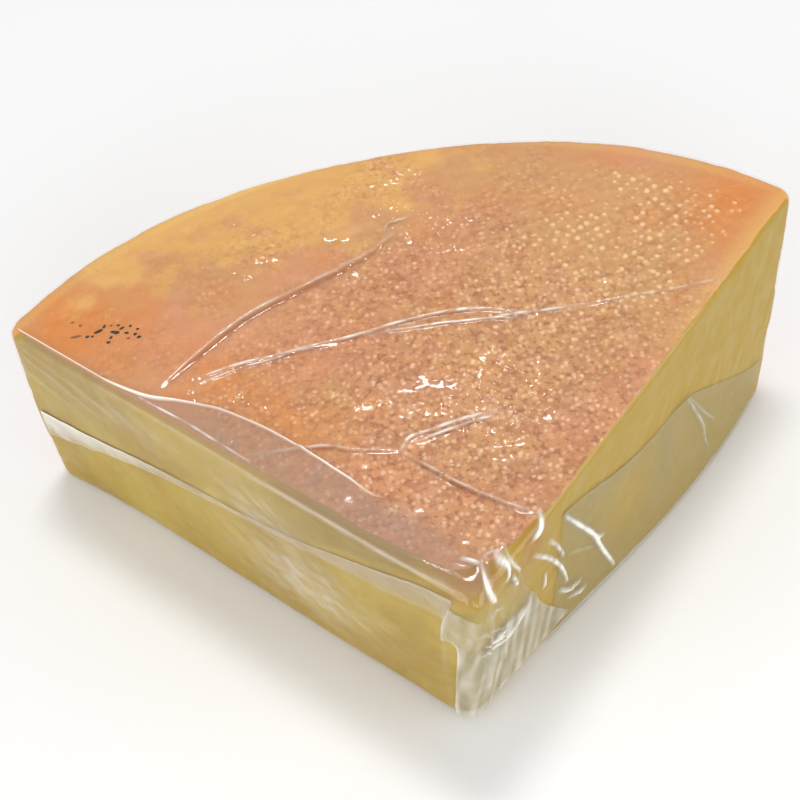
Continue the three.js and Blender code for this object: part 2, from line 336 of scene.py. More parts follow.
# Low ridges where the film bends and breaks into small glints.
GLINT_RIDGES = [
    [-4.3+138j, -0.4+138j, 3.3+136.2j], [3+140.3j, 6.7+140.3j, 10.4+138.6j], [4.5+134.2j, 8.5+134.5j],
    [-4.8+125.6j, -2.9+126.6j], [-1.5+128.6j, 5.6+127j], [7.2+123.2j, 11.6+123.6j, 14.8+126.2j],
    [3.1+119.3j, 9.3+119.6j, 13.7+119.7j], [-2.7+111.7j, 2.7+115.6j],
    [7+109.3j, 10+107.7j, 12.7+108.3j, 15.6+106.8j], [17.5+116.9j, 19.9+117.2j],
    [-44.1+129.5j, -41+129.6j, -39.4+126j], [-19.3+120.3j, -14.6+119.1j], [-38.8+114.9j, -34.2+115.3j],
    [-45.3+113.9j, -42+109.6j], [-16.3+107.7j, -12.5+106.5j, -15.1+103.1j], [-59.5+77.4j, -59.5+72.1j],
    [-48.1+69.5j, -45.8+70.5j, -44.6+67.5j, -42.1+65.4j], [16.3+69.7j, 19.7+69.4j],
    [8.8+63.8j, 14.7+64.2j, 17.7+65.4j, 21.2+64.7j, 25.5+61.5j],
    [-5.6+63.3j, -1.4+64.5j, 3.8+63.3j, 8.6+62.8j], [-18.7+60.1j, -14.8+60.2j, -11+59.6j],
    [-7.6+56.4j, -3.6+57.2j, -0.5+55.6j, 4.2+55j, 9.2+53.1j],
    [18.8+59.9j, 18.7+55.6j, 18.5+51.4j, 16.4+48.3j], [12.2+46.3j, 14.8+45.1j],
    [13.3+42.6j, 16.6+42.4j, 19.5+42.9j, 21+45.5j], [21.1+50j, 25.6+49j, 28.9+48.7j],
    [13+38.6j, 14.8+38.2j], [-93.1+93j, -89.1+89.7j, -83.3+85.3j],
]
GLINT_WIDTH = 3.2
GLINT_HEIGHT = 0.6

# The film's mesh is fine this near a crease, and the film clears the rind by this much.
FINE_REACH = 2.0
FILM_CLEAR = 0.06

# A crest's white line, partly a painted highlight, is this share of its crease's width. Its
# painted shade lies this share in front, and is this much wider than the line. A crest's white
# comes and goes over this length.
LINE_SHARE = 0.2
SHADE_SHARE = 0.42
SHADE_WIDTH = 1.3
FLICKER_LENGTH = 7.0

# Creases on the cuts: width, height, how white the crest is, and points as the distance along the
# cut from the tip, positive on the right, plus the depth below the top times i. The bright white
# crests on the right cut are painted highlights.
RIGHT_CREASES = [
    (3, 1.1, 1.6, [35.5+9.8j, 43.2+24.6j, 50.4+38.4j, 54.8+50j, 62.6+67.3j]),
    (2.8, 0.9, 1.3, [49+36j, 52+41j, 55.4+44.5j]),
    (2, 0.8, 1.4, [29.4+13j, 33+20.2j, 36.8+30.5j]),
    (2.4, 0.9, 1.5, [22.8+10.2j, 30.2+22.7j, 35.7+34.6j, 39.5+47.2j]),
    (2, 0.8, 1.4, [28.9+28.4j, 28.8+35.4j]),
    (1.8, 0.6, 0.3, [38.8+32.6j, 44.5+38.1j, 52.4+46.4j]),
    (2, 0.8, 0.55, [92.4+25.5j, 96.4+32.9j, 103.3+46.1j, 106+53.8j, 110.2+62.8j]),
    (1.8, 0.6, 0.4, [93.5+26j, 104.3+43.1j, 112+53j]),
    (3.2, 1.1, 1.1, [36+47j, 40+52j, 46+55j]),
    (2.8, 0.9, 1, [41+58j, 46+61j, 49+62j]),
]

# The same for the film gathered at the tip. Its brightest crests are painted highlights.
PLEATS = [
    (3.2, 1.2, 0.1, [-8+8j, -8.5+26j, -6+66j]),
    (3, 1.3, 0.15, [5+9j, 5.5+34j, 7+66j]),
    (2.8, 0.9, 0.12, [10+12j, 12+36j, 15+64j]),
    (2.4, 1, 1.2, [5+27j, 8.5+31j, 13.5+30j]),
    (2.2, 0.9, 1.3, [4.1+27j, 8.5+31.5j, 12.8+35.2j]),
    (2.8, 1, 1.7, [4.6+0.1j, 5.1+2j, 7.2+7.6j]),
    (2.6, 1, 1.6, [9.4+0j, 12.8+1.6j, 11.6+5.4j]),
    (1.8, 0.9, 1.4, [13.2+0.1j, 15.4+4j, 17.6+9.8j]),
    (2.6, 0.9, 1.4, [14.2+7j, 15.2+10j, 16.2+14.4j]),
    (3.6, 1.1, 1.5, [27+0.1j, 25+2j, 22.2+2.4j]),
    (2, 0.6, 0.35, [0.2+16j, 7+24j, 14.5+32.4j]),
    (1.8, 0.5, 0.4, [4.7+11.6j, 8+14j, 11.2+17.2j]),
    (3.2, 0.8, 0.7, [22.5+29.2j, 21+34j, 14.2+37.9j, 8.1+34.3j, 3+31.2j]),
]

# The same for the left cut: its taut line, slanting streaks and milky streaks.
LEFT_CREASES = [
    (1.5, 0.3, 0.25, [-68+1.2j, -50+0.8j, -25+0.9j, -5+1.4j]),
    (2.4, 0.35, 0.12, [-147+5j, -133+11j, -114.7+18j]),
    (2.4, 0.35, 0.1, [-149+10j, -138+17j, -121.8+24j]),
    (2.4, 0.35, 0.1, [-143+3j, -122+8j, -106+14j]),
    (3, 0.3, 0.08, [-71+5j, -59+15.7j, -48+24j]),
    (3, 0.3, 0.08, [-65+3j, -53.3+20.2j, -44+34j, -38+50j]),
]


def relief_of(place, creases, flicker):
    """The height of some creases at each place, their white (partly a painted highlight), and their
    painted shade.
    """
    height = np.zeros(place.shape)
    white_and_highlight = np.zeros(place.shape)
    shade = np.zeros(place.shape)
    for order, crease in enumerate(creases):
        width, rise, crest_white_and_highlight, *dark, points = crease
        curve = smooth_curve(points)
        distance, along = along_curve(place, curve)
        taper = np.sqrt(np.sin(math.pi * (0.02 + 0.96 * along)))
        near = np.clip(1 - 2 * distance / width, 0, 1)
        height = np.maximum(height, rise * taper * near ** 1.5)
        run = along * np.abs(np.diff(curve)).sum()
        glow = np.clip(1 - flicker + flicker * waves(run, FLICKER_LENGTH, order), 0.25, 1)
        line = np.exp(-(distance / (LINE_SHARE * width)) ** 2)
        white_and_highlight = np.maximum(white_and_highlight, crest_white_and_highlight * taper * glow * line)
        if any(dark):
            distance, _ = along_curve(place + 1j * SHADE_SHARE * width, curve)
            line = np.exp(-(distance / (SHADE_WIDTH * LINE_SHARE * width)) ** 2)
            shade = np.maximum(shade, dark[0] * taper * line)
    return height, np.stack([white_and_highlight, shade])


def glint_relief(place):
    """The height of the low ridges that break into glints, steeper towards the rim."""
    height = np.zeros(place.shape)
    for points in GLINT_RIDGES:
        distance, _ = along_curve(place, smooth_curve(points, 4))
        height = np.maximum(height, GLINT_HEIGHT * np.exp(-(2 * distance / GLINT_WIDTH) ** 2))
    steeper = 0.45 + place.imag / 118
    return height * steeper * (1 + 0.2 * smooth(112, 122, place.imag))


def crumple_zone(place):
    """Where the film over the top is finely crumpled."""
    front = blob(place, 17 + 56j, 15, 12)
    back = blob(place, 8 + 124j, 9, 16)
    return 1.3 * front + 1.8 * back


def film_top(place):
    """The film's height over the top, its crest white (partly a painted highlight) and its painted shade
    there.
    """
    inside = smooth(0.5, 6, edge_distance(place))
    height, marks = relief_of(place, TOP_CREASES, 0.4)
    follow = 0.03 * waves(place, 5.5, 21) + 0.08 * waves(place, 13, 22) - 0.1
    follow += glint_relief(place) * (0.8 + 0.22 * waves(place, 2.8, 23))
    follow += crumple_zone(place) * 0.14 * waves(place, 2.8, 24)
    rise = top_plane(place) + np.clip(edge_distance(place) / 24, 0, 1) * swell(place)
    clinging = cheese_top(place) + FILM_CLEAR
    return np.maximum(rise + inside * (height + follow), clinging), marks


def near_creases(place):
    """Where the film over the top needs a finer mesh."""
    lines = [crease[-1] for crease in TOP_CREASES] + GLINT_RIDGES
    near = np.min([along_curve(place, smooth_curve(points, 4))[0] for points in lines], axis=0)
    return (near < FINE_REACH) | (crumple_zone(place) > 0.5)


def side_relief(reach, depth):
    """How far the film stands out on the cuts, its crest white (partly a painted highlight) and its
    painted shade.
    """
    place = reach + 1j * depth
    height, marks = relief_of(place, RIGHT_CREASES + PLEATS + LEFT_CREASES, 0.15)
    tip = np.exp(-(reach / 16) ** 2)
    pleat_way = place.real + 0.12 * place.imag
    pleated = tip * 0.28 * waves(pleat_way + 0.08j * place.imag, 4.2, 31)
    ripple = 0.06 * waves(place, 9, 32) + 0.1 * waves(place, 24, 33)
    ripple = np.where(np.abs(reach) > WHEEL_RADIUS, 0, ripple)
    gathered = smooth(24, 60, depth) * np.exp(-((reach - 8) / 14) ** 2)
    foot = 0.16 * gathered * waves(reach + 0.06j * depth, 3.6, 34)
    inside = smooth(0.2, 4, depth)
    return inside * (height + np.maximum(pleated + ripple + foot, -0.03)), marks


# Rings of the block

def edge_inset(angle, rounding):
    """How far a rounded edge has drawn in, at an angle of its turn."""
    return rounding * (1 - np.cos(angle))


BASE_ROWS = 3
EDGE_ROWS = 8


def ring_rows(rounding, base_edge, side_rows):
    """Level and inset of every ring from the base's edge up to the top, for every step."""
    ankle = base_edge / THICKNESS_AT_TIP
    shoulder = 1 - rounding / THICKNESS_AT_TIP
    rows = []
    for angle in np.linspace(math.pi / 2, 0, BASE_ROWS, endpoint=False):
        level = ankle * (1 - math.sin(angle)) + 0 * rounding
        rows.append((level, edge_inset(angle, base_edge) + 0 * rounding))
    for share in np.linspace(0, 1, side_rows, endpoint=False):
        rows.append((ankle + (shoulder - ankle) * share, 0 * rounding))
    for angle in np.linspace(0, math.pi / 2, EDGE_ROWS + 1):
        rows.append((shoulder + (1 - shoulder) * math.sin(angle), edge_inset(angle, rounding)))
    return rows


def outward(walk, level, inset, tip_corner):
    """The direction out of the side at each step."""
    nudge = 1e-3
    after = outline((walk + nudge) % 6, level, inset, tip_corner)
    before = outline((walk - nudge) % 6, level, inset, tip_corner)
    way = -1j * (after - before)
    return way / np.abs(way)


# The film's rounding of the tip's upright edge, the straight run of each cut, and a reach that
# stands for the rim.
FILM_TIP_CORNER = 2.6
CUT_RUN = WHEEL_RADIUS - RIM_CORNER - FILM_TIP_CORNER
RIM_REACH = 1000.0


def reach_of(walk):
    """Signed distance from the tip along the cuts: right is positive. The rim has none."""
    right = FILM_TIP_CORNER + walk * CUT_RUN
    left = -(FILM_TIP_CORNER + (5 - walk) * CUT_RUN)
    tip = (2 * (walk - 5) - 1) * FILM_TIP_CORNER
    rim = np.where(walk < 3, RIM_REACH, -RIM_REACH)
    return np.select([walk < 1, walk < 4, walk < 5], [right, rim, left], tip)


def walk_for(reach):
    """The walk of a place on the cuts, from its signed distance from the tip."""
    right = (reach - FILM_TIP_CORNER) / CUT_RUN
    left = 5 - (-reach - FILM_TIP_CORNER) / CUT_RUN
    tip = 5 + (reach / FILM_TIP_CORNER + 1) / 2
    return np.where(reach >= FILM_TIP_CORNER, right, np.where(reach <= -FILM_TIP_CORNER, left, tip)) % 6


FILM_HAZE = 0.012
FILM_EDGE = 2.4
FILM_EDGE_AT_TIP = 6.0
FILM_BASE_EDGE = 2.5


def film_rounding(walk):
    """The rounding of the film's top edge, widest at the tip."""
    from_tip = np.abs(outline(walk, 1.0, -FILM_GAP, FILM_TIP_CORNER))
    return FILM_EDGE + (FILM_EDGE_AT_TIP - FILM_EDGE) * np.exp(-(from_tip / TIP_REACH) ** 2)


def film_side(walk, level, lift):
    """Points of the film's side at a level, standing off by lift. Rows of x, y, z."""
    rounding = film_rounding(walk)
    shoulder = 1 - rounding / THICKNESS_AT_TIP
    ankle = FILM_BASE_EDGE / THICKNESS_AT_TIP
    turn = np.arcsin(np.clip((level - shoulder) / (1 - shoulder), 0, 1))
    base_turn = np.arcsin(np.clip(1 - level / ankle, 0, 1))
    inset = edge_inset(turn, rounding) + edge_inset(base_turn, FILM_BASE_EDGE) - FILM_GAP
    place = outline(walk, level, inset, FILM_TIP_CORNER)
    depth = (1 - level) * top_plane(place)
    relief, marks = side_relief(reach_of(walk), depth)
    way = outward(walk, level, inset, FILM_TIP_CORNER)
    fade = smooth(0, 5, level * THICKNESS_AT_TIP)
    place = place + way * (relief * fade + lift) * np.cos(turn)
    height = level * top_plane(place) + lift * np.sin(turn)
    return lifted(place, height), marks


def cheese_rounding(walk):
    """The rounding of the cheese's top edge: wide at the rim and at the blunt tip."""
    from_tip = np.abs(outline(walk, 1.0, 0.0, CHEESE_TIP_CORNER))
    rim = smooth(0.9, 1.6, walk) * (1 - smooth(3.4, 4.05, walk))
    left_front = smooth(4.45, 4.8, walk) * (walk < 5)
    edge = 1.9 + 0.5 * rim + 1.6 * left_front
    return edge + 6.5 * np.exp(-(from_tip / 12.0) ** 2)


CHEESE_TIP_CORNER = 7.0
CHEESE_BASE_EDGE = 3.0


def cheese_side(walk, level, inset):
    """Points of the cheese's side, with the relief of the cut paste and of the rim."""
    place = outline(walk, level, inset - CHEESE_OUT, CHEESE_TIP_CORNER)
    height = CHEESE_LIFT + level * (top_plane(place) - CHEESE_DROP - CHEESE_LIFT)
    run = reach_of(walk)
    rim = (walk > 1) & (walk < 4)
    span = np.angle(place) * WHEEL_RADIUS
    chart = np.where(rim, span, run) + 1j * height
    cut = 0.10 * waves(chart, 5, 41) + 0.16 * waves(chart, 17, 42)
    rind = 0.22 * beads(chart) + 0.12 * waves(chart, 7, 43) + 0.3 * waves(chart, 30, 44)
    relief = np.clip(np.where(rim, rind - 0.15, cut - 0.05), -0.3, 0.04) * smooth(0, 4, height)
    way = outward(walk, level, inset - CHEESE_OUT, CHEESE_TIP_CORNER)
    return lifted(place + way * relief, height)


def cheese_top(place):
    """The height of the rind over the top."""
    inside = smooth(1.5, 8, edge_distance(place))
    beaded = bead_strength(place)
    relief = 0.36 * beads(place) * (0.08 + beaded)
    relief += 0.26 * beads(place, GRAIN_SPACING, GRAIN_RADIUS) * grain_strength(place)
    relief += 0.09 * waves(place, 3.0, 51) * (0.3 + beaded)
    relief += 0.10 * waves(place, 8, 52) - 0.12
    rise = top_plane(place) - CHEESE_DROP + np.clip(edge_distance(place) / 24, 0, 1) * swell(place)
    return rise + inside * relief


# Meshes

def origin_shift():
    """From the wheel's centre to the part's origin, under the middle of the film's box."""
    walk = walk_of(FILM_STEPS)
    rows = ring_rows(film_rounding(walk), FILM_BASE_EDGE, 12)
    places = [outline(walk, level, inset - FILM_GAP, FILM_TIP_CORNER) for level, inset in rows]
    middle = [(part.min() + part.max()) / 2 for part in (np.real(places), np.imag(places))]
    return np.array([*middle, 0.0])


ORIGIN = origin_shift()


def mesh_object(name, points, faces, values=None):
    """A smooth mesh object from points in millimetres, with named values at its points."""
    mesh = bpy.data.meshes.new(name)
    mesh.from_pydata(((points - ORIGIN) * MM).tolist(), [], faces)
    for key, numbers in (values or {}).items():
        layer = mesh.attributes.new(key, "FLOAT", "POINT")
        layer.data.foreach_set("value", np.asarray(numbers, dtype=np.float32))
    mesh.validate()
    mesh.shade_smooth()
    piece = bpy.data.objects.new(name, mesh)
    bpy.context.scene.collection.objects.link(piece)
    return piece


# The distance between the rows of a triangular grid, for a spacing of 1.
ROW_STEP = math.sqrt(0.75)


def grid_inside(ring, spacing):
    """Places on a triangular grid, clear of the ring."""
    low = ring.real.min() + 1j * ring.imag.min()
    wide = int((ring.real.max() - low.real) / spacing) + 2
    deep = int((ring.imag.max() - low.imag) / (spacing * ROW_STEP)) + 2
    column, row = np.meshgrid(np.arange(wide), np.arange(deep))
    grid = (low + spacing * (column + 0.5 * (row % 2) + 1j * ROW_STEP * row)).ravel()
    return grid[inside_ring(grid, ring, 0.6 * spacing)]


def cap(ring, spacing, fine_spacing=None, fine_zone=None):
    """Places inside a ring, closer together in a zone, and the triangles of ring and places."""
    grid = grid_inside(ring, spacing)
    if fine_zone:
        fine = grid_inside(ring, fine_spacing)
        grid = np.concatenate([grid[~fine_zone(grid)], fine[fine_zone(fine)]])
    places = np.concatenate([ring, grid])
    edges = [(k, (k + 1) % len(ring)) for k in range(len(ring))]
    points = [Vector((p.real, p.imag)) for p in places]
    _, _, faces, origins, _, _ = delaunay_2d_cdt(points, edges, [], 1, 1e-6)
    source = [origin[0] for origin in origins]
    return grid, [[source[k] for k in face] for face in faces]


def inside_ring(grid, ring, margin):
    """Which places are inside a ring, clear of it by a margin."""
    end = np.roll(ring, -1)
    crossings = np.zeros(grid.shape, dtype=int)
    near = np.full(grid.shape, np.inf)
    for a, b in zip(ring, end):
        run = b - a
        share = np.clip((np.conj(run) * (grid - a)).real / np.abs(run) ** 2, 0, 1)
        near = np.minimum(near, np.abs(grid - a - share * run))
        spans = (a.imag > grid.imag) != (b.imag > grid.imag)
        rise = run.imag if run.imag else 1.0
        crossings += spans & (grid.real < a.real + (grid.imag - a.imag) * run.real / rise)
    return (crossings % 2 == 1) & (near > margin)


def band_faces(rows, steps, closed=True):
    """Quads between rows of points that follow one another, closed into rings or open."""
    faces = []
    for low in range(0, (rows - 1) * steps, steps):
        for k in range(steps if closed else steps - 1):
            after = (k + 1) % steps
            faces.append((low + k, low + after, low + steps + after, low + steps + k))
    return faces


def block_mesh(rings, top_height, *spacing):
    """All points and faces of a closed block, and the first points of its top and its base."""
    steps = len(rings[0])
    points = np.concatenate(rings)
    faces = band_faces(len(rings), steps)
    top_places, top_faces = cap(plan(rings[-1]), *spacing)
    first = len(points)
    tops = lifted(top_places, top_height(top_places))
    faces += [tuple(first - steps + k for k in face) for face in top_faces]
    base_places, base_faces = cap(plan(rings[0]), BASE_GRID)
    base_first = first + len(tops)
    bases = lifted(base_places, np.full(len(base_places), rings[0][0, 2]))
    base_index = [*range(steps), *range(base_first, base_first + len(base_places))]
    faces += [tuple(base_index[k] for k in reversed(face)) for face in base_faces]
    return np.concatenate([points, tops, bases]), faces, first, base_first


# How far down over the top edge the rind ends, at some reaches along the cuts, and a drop that
# is more than the rim's height.
RIND_END_REACH = [-60, -40, -12, -6, 0, 5, 9, 20, 28]
RIND_END_DOWN = [0, 0.3, 0.3, 1.6, 2.4, 1.6, 0.2, 0.2, 1.2]
WHOLE_RIM = 200


def rind_end(walk):
    """How far the rind runs down over the top edge, in millimetres. It covers the whole rim."""
    rim = smooth(1.2, 1.5, walk) * (1 - smooth(3.5, 3.8, walk))
    return np.interp(reach_of(walk), RIND_END_REACH, RIND_END_DOWN) + WHOLE_RIM * rim


def cheese_piece():
    """The cut block of cheese, with its beaded rind and smooth paste."""
    walk = walk_of(CHEESE_STEPS)
    rounding = cheese_rounding(walk)
    rows = ring_rows(rounding, CHEESE_BASE_EDGE, CHEESE_SIDE_ROWS)
    rings = [cheese_side(walk, level, inset) for level, inset in rows]
    points, faces, first, base_first = block_mesh(rings, cheese_top, CHEESE_GRID)
    side_rows = BASE_ROWS + CHEESE_SIDE_ROWS
    turn = np.concatenate([np.full(side_rows, -1.0), np.linspace(0, 1, EDGE_ROWS + 1)])
    marks = []
    for share, (level, _) in zip(turn, rows):
        past_edge = rounding * (math.pi / 2 - 1) + (1 - level) * THICKNESS_AT_TIP
        down = np.where(share < 0, past_edge, (1 - share) * rounding * math.pi / 2)
        chart = reach_of(walk) + 1j * down
        marks.append([smooth(0.5, -0.5, down - rind_end(walk)), amber_zone(chart), painted_shade_zone(chart)])
    rest = len(points) - first
    marks.append([np.ones(rest), np.zeros(rest), np.zeros(rest)])
    rind, amber, painted_shade = [np.concatenate(layer) for layer in zip(*marks)]
    rind[:len(walk)] = 1.0
    place = plan(points)
    upper = np.zeros(len(points))
    upper[side_rows * len(walk):base_first] = 1.0
    wall, patchy = wall_zone(points)
    values = {
        "rind": rind,
        "amber": amber,
        # Painted shade on the left cut's paste.
        "painted_shade": painted_shade,
        "golden": golden_zone(place),
        "bead": beads(place) * (0.06 + bead_strength(place)) * upper,
        "beaded": bead_strength(place),
        "mottled": np.clip(mottled_zone(place) * (1 - wall) + wall * (0.6 + 0.12 * patchy), 0, 1),
        "ochre": ochre_zone(place) * (1 - wall) + wall * (0.42 - 0.1 * patchy),
        "orange": orange_zone(place) * (1 - wall) + wall * 0.35,
        "pale": pale_zone(place) * upper,
    }
    return mesh_object("raclette_cheese", points, faces, values)


def blob(place, centre, wide, deep, tilt=0.0):
    """A soft oval patch: 1 in the middle, 0 far away."""
    local = (place - centre) * np.exp(-1j * tilt)
    return np.exp(-(local.real / wide) ** 2 - (local.imag / deep) ** 2)


def wall_zone(points):
    """How far down the block's side each point is, and how patchy the rind is there."""
    wall = smooth(0.04, 0.45, 1 - points[:, 2] / THICKNESS_AT_TIP)
    span = np.angle(plan(points)) * WHEEL_RADIUS
    return wall, waves(span + 1j * points[:, 2], 34, 64)


def mottled_zone(place):
    """Where the rind is mottled pinkish brown: most from the middle to the tip."""
    middle = blob(place, 14 + 68j, 60, 50)
    tip = blob(place, 8 + 30j, 32, 28)
    return np.clip(1.1 * middle + 0.8 * tip + 0.14 * waves(place, 26, 61), 0, 1)


def amber_zone(chart):
    """Where the paste shows amber: under the rind at the tip, by reach and distance down."""
    tip = 0.9 * blob(chart, 0.5 + 4j, 6, 4.5)
    triangle = 0.8 * blob(chart, 19 + 6j, 5, 9)
    return np.maximum(tip, triangle)


def depth_along(curve, reach):
    """The depth of a curve on a cut, at some reaches."""
    return np.interp(reach, np.real(curve), np.imag(curve))


def painted_shade_zone(chart):
    """Painted shade on the left cut's paste, between the film's taut line and the pale band."""
    inside = smooth(1.5, -0.5, chart.imag - depth_along(BAND_UPPER, chart.real))
    return inside * smooth(-58, -38, chart.real) * smooth(-8, -16, chart.real)


def golden_zone(place):
    """The right cut is a deeper yellow than the left."""
    return smooth(12, 2, from_right(place)) * smooth(4, 14, place.real)


def ochre_zone(place):
    """The smooth ochre patch at the left of the rim, and a band along the rim."""
    patch = blob(place, -24 + 131j, 40, 14, math.radians(14))
    band = smooth(128, 146, np.abs(place)) * smooth(45, -5, place.real) * smooth(-96, -80, place.real)
    return np.clip(np.maximum(patch, 0.75 * band) + 0.12 * waves(place, 15, 62), 0, 1)


def orange_zone(place):
    """The orange corners, and the orange along the left cut."""
    right = 0.9 * blob(place, 96 + 104j, 22, 20)
    left = blob(place, -90 + 102j, 22, 20)
    cut = 0.7 * blob(place, -44 + 68j, 34, 10, -math.pi / 4)
    return np.clip(np.maximum(np.maximum(right, left), cut) + 0.1 * waves(place, 18, 63), 0, 1)


def pale_zone(place):
    """The pale yellow edge of the rind at the rim."""
    rim = smooth(3.4, 0.6, WHEEL_RADIUS - np.abs(place)) * (0.25 + 0.75 * blob(place, -28 + 146j, 30, 12))
    right = smooth(7, 1, from_right(place)) * smooth(60, 125, np.abs(place))
    return np.maximum(rim, 0.36 * right)


def left_haze(chart):
    """Milky places on the left cut, by reach and depth."""
    low = 0.33 * blob(chart, -53 + 44j, 20, 15, 0.25) * (1 + 0.2 * waves(chart, 7, 81))
    streaks = 0.14 * blob(chart, -68 + 16j, 16, 6, 0.75) + 0.12 * blob(chart, -55 + 13j, 14, 5, 0.6)
    spots = 0.14 * blob(chart, -104 + 9j, 15, 5)
    far = 0.03 * blob(chart, -128 + 12j, 24, 8)
    return low + streaks + spots + far


def film_piece():
    """The wrap that follows the cheese all round, finest on the right cut beside the tip."""
    walk = walk_of(FILM_STEPS)
    walk = np.where(walk < 1, walk ** TIP_CROWDING, walk)
    rows = ring_rows(film_rounding(walk), FILM_BASE_EDGE, FILM_SIDE_ROWS)
    rings = []
    marks = []
    hazes = []
    left = (walk > 4) & (walk < 5)
    for level, _ in rows:
        ring, mark = film_side(walk, level, 0.0)
        rings.append(ring)
        marks.append(mark)
        milky = left_haze(reach_of(walk) + 1j * (1 - level) * THICKNESS_AT_TIP)
        hazes.append(FILM_HAZE + np.where(left & (level < 0.75), 0.8 * milky, 0))
    points, faces, first, base_first = block_mesh(
        rings, lambda place: film_top(place)[0], FILM_GRID, CREASE_GRID, near_creases)
    marks.append(film_top(plan(points[first:base_first]))[1])
    marks.append(np.zeros((2, len(points) - base_first)))
    hazes.append(np.full(len(points) - first, FILM_HAZE))
    crest_white_and_highlight, shade = np.concatenate(marks, axis=1)
    values = {"crest_white_and_highlight": crest_white_and_highlight, "shade": shade, "haze": np.concatenate(hazes)}
    return mesh_object("clear_film", points, faces, values)


def strip_piece(name, rows, paints):
    """A sheet from equal rows of points, each with its crest white (partly a painted highlight), haze and
    grey.
    """
    faces = band_faces(len(rows), len(rows[0]), closed=False)
    layers = [np.concatenate(layer) for layer in zip(*paints)]
    return mesh_object(name, np.concatenate(rows), faces, dict(zip(("crest_white_and_highlight", "haze", "grey"), layers)))


# Layers of film over the wrap. Their outlines are named curves on the top or on a cut.
SHEET_LIFT = 0.2
FLAP_FOLD = [-106+104j, -90.7+90.3j, -72.9+76.3j, -62.5+71.7j, -51.2+66j, -40.5+57.3j,
             -32+48.8j, -23.2+39.2j, -18.2+33.5j, -13.3+31.1j, -9+28.9j, -4+23.2j,
             0.8+17.3j, 9+13.5j]
FLAP_CLEAR = 1.7
FLAP_STEPS = 190
FLAP_TOP_ROWS = 34
FLAP_SIDE_ROWS = 40

# How white the fold's edge is, at shares of its length.
FOLD_PLACES = [0, 0.05, 0.3, 0.42, 0.6, 0.7, 0.76, 0.8]
FOLD_WHITE = [1, 1.3, 1.2, 0.7, 0.8, 1.1, 0.6, 0]

BAND_UPPER = [-145+34.4j, -128.2+33.4j, -115.8+31.2j, -96.1+27.7j, -70.5+23.8j, -51.9+19.6j,
              -43.3+16.8j, -25.5+9.1j, -15.4+4.5j, -6.5+3.5j]
BAND_LOWER = [-145+46.1j, -131.7+42.9j, -118+37.7j, -97.3+32.1j, -71.2+26.7j, -52.6+23.3j,
              -38+20.9j, -23.5+18.5j, -7.5+13.7j]
RIGHT_WRAP_EDGE = [35.6+8.5j, 50.9+16.3j, 60.2+21.1j, 75.1+25.6j, 92.4+26.8j, 101.9+32j,
                   114.9+41j, 133.3+52.8j, 143.5+57j]
TIP_LEFT_EDGE = [-7.3+7.5j, -8.5+16j, -8.5+24.5j, -5+27j, -4.8+48.4j, -4.7+71j]
TIP_RIGHT_EDGE = [17.7+10.3j, 21+23.7j, 24.1+30.6j, 28+42j, 35+55j, 42+66j]


def level_at(walk, depth):
    """The level of a depth below the top, at a place on the film's side."""
    place = outline(walk, 1.0, -FILM_GAP, FILM_TIP_CORNER)
    return np.clip(1 - depth / top_plane(place), 0, 1)


def crowded(rows):
    """Shares from 0 to 1, closer together at both ends, so that an edge is crisp."""
    return 0.5 - 0.5 * np.cos(math.pi * np.linspace(0, 1, rows))


def side_strip(name, upper, lower, steps, rows, paint):
    """A sheet on the cuts between two curves of reach and depth."""
    high = resampled(upper, steps)
    low = resampled(lower, steps)
    points = []
    paints = []
    for share in crowded(rows):
        chart = high + (low - high) * share
        walk = walk_for(chart.real)
        ring, marks = film_side(walk, level_at(walk, chart.imag), SHEET_LIFT)
        points.append(ring)
        paints.append((marks[0], *paint(chart, share)))
    return strip_piece(name, points, paints)


def resampled(points, steps):
    """A smooth curve through the points, at even steps of its length."""
    curve = smooth_curve(points, 24)
    run = np.concatenate([[0], np.cumsum(np.abs(np.diff(curve)))])
    share = np.linspace(0, run[-1], steps)
    return np.interp(share, run, curve.real) + 1j * np.interp(share, run, curve.imag)


